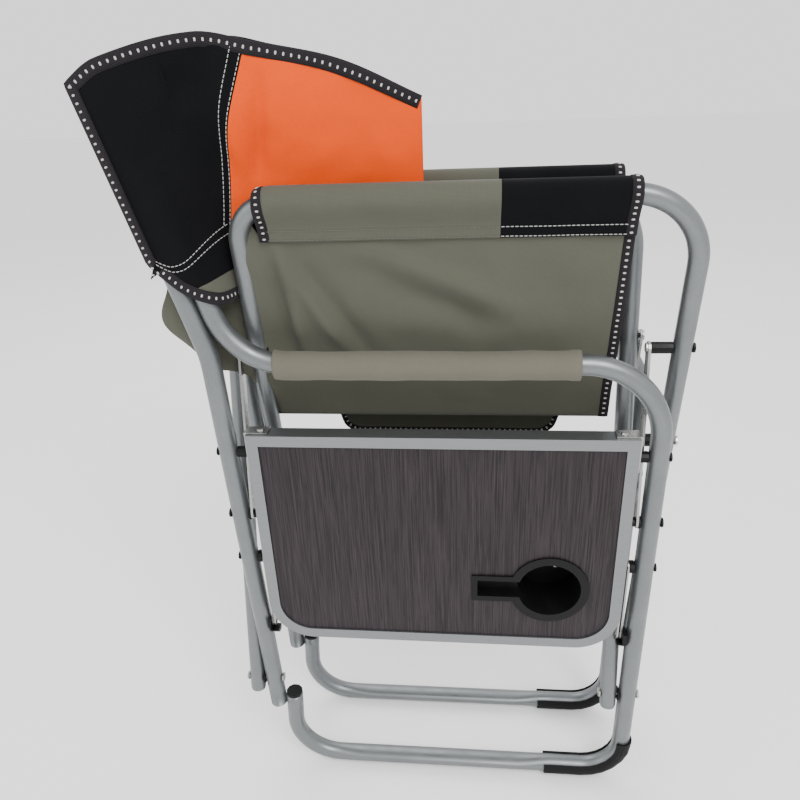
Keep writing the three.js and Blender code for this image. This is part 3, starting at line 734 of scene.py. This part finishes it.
def sleeve_centre(y):
    """The rail's height drops a little where its corners begin inside the sleeve."""
    front = max(0.0, -172 - y)
    rear = max(0.0, y - 164)
    return RAIL_Z - front ** 2 / 144 - rear ** 2 / 84


def sleeve_section(y, k):
    """k runs from 0 at the outer seam, over the rail, to 1 at the inner seam."""
    centre_z = sleeve_centre(y)
    round_radius = SEAT_RADIUS + 3.2
    if 0.3 < k < 0.7:
        angle = math.pi * (0.7 - k) / 0.4
        return (RAIL_X + round_radius * math.cos(angle),
                centre_z + (round_radius + 2.0) * math.sin(angle))
    side = -1 if k < 0.5 else 1
    share = (k if k < 0.5 else 1 - k) / 0.3
    z = SLEEVE_SEAM_Z + (centre_z - SLEEVE_SEAM_Z) * share
    slack = math.exp(-((centre_z - z) / 19) ** 2)
    middle = RAIL_X + (SEAM_X - RAIL_X) * (1 - share)
    hem = 0.7 if z < SLEEVE_SEAM_Z + HEM else 0.0
    return middle + side * (1.8 + hem + (round_radius - 1.8) * slack), z


def seat_sleeve_shape(u, v):
    y = SEAT_REAR_Y + (SEAT_FRONT_Y - SEAT_REAR_Y) * u
    x, z = sleeve_section(y, v)
    sag = ripple((x, y, z * 1.4), 46, 1.6) + ripple((x, y, z), 17, 0.4)
    return x + sag * (1 - 0.75 * smooth_step(z, RAIL_Z - 12, RAIL_Z + 6)) * (1 if v < 0.5 else 0.4), y, z


def seat_half_shape(u, v):
    """u runs from the rear edge to the front edge; v from the seam down to the crease."""
    rear_y = through([(0, 196), (0.25, 206), (0.6, 203), (1, 199)], v)
    front_y = SEAT_FRONT_Y + 2 * v
    y = rear_y + (front_y - rear_y) * u
    top_z = SLEEVE_SEAM_Z + 4 + 22 * smooth_step(y, 180, 200)
    z = top_z + (CREASE_Z - top_z) * v
    x = SEAM_X + 0.5 + (CREASE_X - SEAM_X - 0.5) * v
    free = 1.25 * math.sin(math.pi * min(1.0, v * 1.02)) ** 0.7 if 0 < v < 1 else 0.0
    x -= 11 * smooth_step(y, 168, 204) * smooth_step(v, 0.0, 0.2) * (1 - smooth_step(v, 0.75, 1.0))
    x -= free * sum(ridge(y, z, *fold) for fold in SEAT_FOLDS)
    x -= free * (ripple((0, y, z), 75, 5.5) + ripple((9, y, z * 0.8), 30, 2.2))
    return x, y, z


def carry_seat(obj):
    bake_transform(obj)


def make_seat(side):
    black_from = (SEAT_REAR_Y - SEAT_BLACK_Y) / (SEAT_REAR_Y - SEAT_FRONT_Y)
    sleeve = Panel(f"{side}_seat_sleeve", mirrored(side, seat_sleeve_shape), 121, 60)
    columns_black = round(black_from * 121) / 121
    cover = sleeve.build([OLIVE, BLACK], lambda u, v: int(u > columns_black))
    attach(cover, f"{side}_seat_u")
    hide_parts(f"{side}_rail_sleeve")
    extras = []
    back = side == "left"
    for k, v in enumerate((0.012, 0.085, 0.988, 0.915)):
        extras.append(stitch(f"{side}_hem_stitch_{k}", sleeve, line((0.02, v), (columns_black, v), 120),
                             DARK_THREAD, 0.9, back))
        extras.append(stitch(f"{side}_hem_stitch_white_{k}", sleeve, line((columns_black, v), (0.985, v), 90),
                             WHITE_THREAD, 0.9, back))
    for end, u in (("rear", 0.0), ("front", 1.0)):
        extras += bind(f"{side}_sleeve_{end}_binding", sleeve, line((u, 0.0), (u, 1.0), 90))
    for piece in extras:
        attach(piece, f"{side}_seat_u")
    panel = Panel(f"{side}_seat_half", mirrored(side, seat_half_shape), 96, 60)
    cloth = panel.build([OLIVE])
    trim = bind(f"{side}_seat_front_binding", panel, line((1, 0), (1, 1), 70))
    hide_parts(f"{side}_seat_sling")
    for piece in (cloth, *trim):
        carry_seat(piece)


# ---- backrest ----
# The cloth's edges from the post to the crease, as (share of the way, y, z).
TOP_EDGE = [(0, 338.6, 881), (0.09, 307, 900), (0.36, 222, 918),
            (0.51, 173, 909), (0.73, 100, 892), (1, BACK_CREASE_Y, 857)]
LOW_EDGE = [(0, 294, 716), (0.09, 262, 688), (0.30, 214, 671),
            (0.51, 160, 666), (0.73, 95, 661), (1, BACK_CREASE_Y, 656)]
# Where the colours change in the grid of the back: black to orange across it, then orange to black
# and black to olive down it.
SPLIT_U, SPLIT_V, SPLIT_OLIVE = 0.4, 0.7, 0.9


def on_edge(edge, u):
    return Vector((through([(s, y) for s, y, _ in edge], u), through([(s, z) for s, _, z in edge], u)))


def back_x(y, z):
    """How far the cloth stands from the side frame's plane: round both posts, then in to the crease."""
    post = post_y(z)
    high = [(post + 19, -10), (post + 12, -12.5), (post + 4, -13), (post - 8, -13), (post - 30, -9),
            (222, 10), (173, 20), (102, 38), (BACK_CREASE_Y, CREASE_X)]
    low = [(post + 19, -10), (post + 12, -12.5), (post + 4, -13), (post - 32, -13), (post - 45, -1),
           (216, 29), (188, 36), (62, 48), (BACK_CREASE_Y, CREASE_X)]
    share = smooth_step(z, 790, 860)
    keys = [(a[0] + (b[0] - a[0]) * share, a[1] + (b[1] - a[1]) * share) for a, b in zip(low, high)]
    return through(keys[::-1], y)


BACK_FOLDS = [
    ((205, 905), (196, 790), 10, 6.0),
    ((168, 880), (186, 790), 8, -7.0),
    ((270, 870), (225, 850), 14, 3.0),
    ((255, 900), (215, 800), 16, -3.5),
]
# Double rows of stitches beside the upright seam and along the slanting one, as (u, v) places.
BACK_SEAMS = [((0.395, 0.0), (0.395, 0.7)), ((0.372, 0.0), (0.372, 0.7)),
              ((0.03, 0.695), (0.39, 0.695)), ((0.03, 0.735), (0.39, 0.735))]


def back_shape(u, v):
    """u runs from the post to the crease, v from the top edge down."""
    y, z = on_edge(TOP_EDGE, u).lerp(on_edge(LOW_EDGE, u), v)
    x = back_x(y, z)
    free = smooth_step(u, 0.12, 0.3) * (1 - smooth_step(u, 0.9, 1.0))
    x -= free * sum(ridge(y, z, *fold) for fold in BACK_FOLDS)
    x -= free * (ripple((2, y, z), 60, 4.5) + ripple((7, y, z), 24, 1.6))
    return x, y, z


def channel_shape(u, v):
    """The inner layer of the cloth, round behind the posts, sewn to the outer layer in front of them."""
    share = 0.253 * u ** 1.8
    y, z = on_edge(TOP_EDGE, share).lerp(on_edge(LOW_EDGE, share), v)
    edge_y, _ = on_edge(TOP_EDGE, 0).lerp(on_edge(LOW_EDGE, 0), v)
    outer = back_x(y, z)
    inner = outer + (13.2 - outer) * smooth_step(edge_y - y, 0, 4.5)
    joined = smooth_step(u, 0.9, 1.0)
    return max(outer + 1.3, inner) * (1 - joined) + (outer + 1.3) * joined, y, z


def seam_u(v):
    """The line where the black side panel meets the orange middle."""
    return through([(0, 0.50), (0.2, 0.44), (0.45, 0.37), (0.6, 0.34), (0.8, 0.30), (1, 0.29)], v)


def diagonal_v(u):
    """The line where the black side panel meets the black lower panel."""
    return through([(0, 0.945), (0.15, 0.84), (0.30, 0.70), (0.5, 0.62), (1, 0.60)], u)


def olive_v(u):
    return through([(0, 1.0), (0.1, 0.99), (0.2, 0.925), (0.32, 0.87), (0.6, 0.84), (1, 0.84)], u)


def fitted_back_shape(u, v):
    """The same surface, with its grid lines moved onto the seams so that the colours meet cleanly."""
    low = v
    for _ in range(3):
        seam = seam_u(low)
        across = u / SPLIT_U * seam if u <= SPLIT_U else seam + (u - SPLIT_U) / (1 - SPLIT_U) * (1 - seam)
        first, second = diagonal_v(across), olive_v(across)
        if v <= SPLIT_V:
            low = v / SPLIT_V * first
        elif v <= SPLIT_OLIVE:
            low = first + (v - SPLIT_V) / (SPLIT_OLIVE - SPLIT_V) * (second - first)
        else:
            low = second + (v - SPLIT_OLIVE) / (1 - SPLIT_OLIVE) * (1 - second)
    return back_shape(across, low)


def back_color(u, v):
    """The place in the back's list of materials: 0 is orange, 1 black and 2 olive."""
    if v > SPLIT_OLIVE:
        return 2
    if v > SPLIT_V:
        return 1
    return 1 if u < SPLIT_U else 0


def carry_back(obj):
    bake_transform(obj)


def make_back(side):
    outside_is_back = side == "right"
    panel = Panel(f"{side}_back_half", mirrored(side, fitted_back_shape), 100, 80)
    cloth = panel.build([ORANGE, BLACK, OLIVE], back_color)
    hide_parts(f"{side}_back_sling", f"{side}_back_sleeve")
    rear_corner = [(0, 0.85), (0.012, 1)]
    edge = line((1, 0), (0, 0), 90) + line((0, 0.01), (0, 0.75), 70) + rear_corner
    edge += line((0.03, 1), (1, 1), 90)
    pieces = bind(f"{side}_back_binding", panel, edge, width=11, dash_spacing=7.2)
    for number, (seam_start, seam_end) in enumerate(BACK_SEAMS, 1):
        path = line(seam_start, seam_end)
        pieces.append(stitch(f"{side}_back_seam_{number}", panel, path, WHITE_THREAD, 1.0, outside_is_back))
    for piece in (cloth, *pieces):
        carry_back(piece)
    channel = Panel(f"{side}_back_channel", mirrored(side, channel_shape), 44, 60)
    inner = channel.build([BLACK])
    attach(inner, f"{side}_side_frame")


# ---- arm sleeves, pocket and loose cloth ----
def make_arm_sleeve(side, x):
    points = [p for p in hoop_points(x) if p.z > ARM_Z - 3 and -150 < p.y < 200]
    bend_from = max((p.y for p in points if abs(p.z - ARM_Z) < 0.05), default=150.0)

    def shape(u, v):
        y = ARM_COVER_REAR_Y + (ARM_COVER_FRONT_Y - ARM_COVER_REAR_Y) * v
        z = ARM_Z
        if y > bend_from:
            z += 0.5 * (y - bend_from) ** 2 / 80
        angle = 2 * math.pi * u
        radius = FRAME_RADIUS + 2.9 + ripple((math.cos(angle) * 20, y, math.sin(angle) * 20), 30, 0.9)
        hem = 0.5 if min(y - ARM_COVER_FRONT_Y, ARM_COVER_REAR_Y - y) < HEM else 0.0
        drop = 2.2 * max(0.0, -math.sin(angle)) ** 2
        return x + (radius + hem) * math.cos(angle), y, z + (radius + hem + drop) * math.sin(angle)

    panel = Panel(f"{side}_arm_cover", shape, 48, 110, closed=True)
    cover = panel.build([OLIVE_LIGHT])
    rings = [stitch(f"{side}_arm_hem_{k}", panel, line((0, v), (0.999, v), 60), DARK_THREAD, 0.9, True)
             for k, v in enumerate((0.03, 0.97))]
    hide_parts(f"{side}_arm_sleeve")
    for piece in (cover, *rings):
        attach(piece, f"{side}_side_frame")


def pocket_shape(u, v):
    """u runs from the rear to the front, v from the top down, with round lower corners."""
    y = POCKET_REAR_Y + (POCKET_FRONT_Y - POCKET_REAR_Y) * u
    from_side = min(y - POCKET_FRONT_Y, POCKET_REAR_Y - y)
    low = POCKET_LOW_Z
    if from_side < POCKET_CORNER:
        low += POCKET_CORNER - math.sqrt(max(0.0, POCKET_CORNER ** 2 - (POCKET_CORNER - from_side) ** 2))
    z = POCKET_TOP_Z + (low - POCKET_TOP_Z) * v
    x = SPACING + 12 + 2.4 * math.sin(math.pi * v) + ripple((3, y, z), 55, 1.6) * smooth_step(v, 0, 0.3)
    return x, y, z


def make_pocket():
    panel = Panel("side_pocket_cloth", pocket_shape, 80, 40)
    cloth = panel.build([OLIVE], thickness=2.4)
    edge = line((0, 0), (0, 1), 40) + line((0, 1), (1, 1), 120)[1:] + line((1, 1), (1, 0), 40)[1:]
    trim = bind("side_pocket_binding", panel, edge, width=8)
    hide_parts("left_side_pocket")
    for piece in (cloth, *trim):
        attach(piece, "left_side_frame")


def loose_fold_shape(u, v):
    """Spare olive cloth that hangs behind the posts; u runs from its rear edge forwards."""
    rear_y = through([(0, 290), (0.55, 303), (1, 276)], v)
    y = rear_y + (208 - rear_y) * u
    top_z = 684 - 18 * u
    low_z = through([(0, 614), (0.3, 596), (0.7, 580), (1, 560)], u)
    z = top_z + (low_z - top_z) * v
    x = 15 + 22 * smooth_step(u, 0.3, 1.0) + 3.5 * math.sin(9 * u + 2 * v) * v + ripple((5, y, z), 26, 3.0)
    return x, y, z


def make_loose_fold(side):
    panel = Panel(f"{side}_back_loose_fold", mirrored(side, loose_fold_shape), 50, 50)
    cloth = panel.build([OLIVE])
    carry_back(cloth)


for cloth_side, cloth_x in (("right", 0.0), ("left", SPACING)):
    make_loose_fold(cloth_side)
    make_seat(cloth_side)
    make_back(cloth_side)
    make_arm_sleeve(cloth_side, cloth_x)
make_pocket()


# ---- camera, light and floor ----
def set_camera():
    """The camera stands on the right side, 25 degrees up, turned a little towards the back."""
    data = bpy.data.cameras.new("camera")
    data.lens = CAMERA_LENS
    data.sensor_width = 36
    camera = bpy.data.objects.new("camera", data)
    bpy.context.scene.collection.objects.link(camera)
    yaw, pitch, roll = CAMERA_TURN
    facing = Matrix(((0, -1, 0), (0, 0, -1), (1, 0, 0)))
    turn = Matrix(((math.cos(yaw), 0, -math.sin(yaw)), (0, 1, 0), (math.sin(yaw), 0, math.cos(yaw))))
    tilt = Matrix(((1, 0, 0), (0, math.cos(pitch), -math.sin(pitch)), (0, math.sin(pitch), math.cos(pitch))))
    lean = Matrix(((math.cos(roll), -math.sin(roll), 0), (math.sin(roll), math.cos(roll), 0), (0, 0, 1)))
    right, down, forward = (Vector(row) for row in (lean @ tilt @ turn @ facing))
    rotation = Matrix((right, -down, -forward)).transposed()
    camera.matrix_world = Matrix.Translation(place(*CAMERA_PLACE)) @ rotation.to_4x4()
    bpy.context.scene.camera = camera


def add_area_light(name, position, target, size, power, color=(1, 1, 1)):
    data = bpy.data.lights.new(name, "AREA")
    data.shape = "RECTANGLE"
    data.size = size[0]
    data.size_y = size[1]
    data.energy = power
    data.color = color
    light = bpy.data.objects.new(name, data)
    light.location = position
    light.rotation_euler = (Vector(target) - Vector(position)).to_track_quat("-Z", "Y").to_euler()
    bpy.context.scene.collection.objects.link(light)


def set_stage():
    floor_finish = Finish("pale_floor", (0.94, 0.94, 0.935), 0.7)
    mottle = floor_finish.noise(floor_finish.mapped(), 3, 3)
    floor_finish.color(floor_finish.blend_color(mottle, (0.93, 0.93, 0.925), (0.955, 0.955, 0.95)))
    size = 14.0
    corners = [(-size, -size, -0.0002), (size, -size, -0.0002), (size, size, -0.0002), (-size, size, -0.0002)]
    floor = make_object("floor", corners, [(0, 1, 2, 3)], floor_finish.material, smooth=False)
    world = bpy.data.worlds.new("studio")
    world.use_nodes = True
    background = world.node_tree.nodes["Background"]
    background.inputs["Color"].default_value = (1, 1, 1, 1)
    background.inputs["Strength"].default_value = 1.45
    bpy.context.scene.world = world
    target = (0, 0, 0.45)
    add_area_light("key", (-1.9, -1.0, 2.6), target, (1.4, 1.4), 75)
    add_area_light("fill", (-1.6, 2.2, 1.4), target, (2.2, 1.6), 14)
    add_area_light("rim", (2.0, 0.6, 2.2), target, (1.6, 1.6), 22)


set_camera()
set_stage()
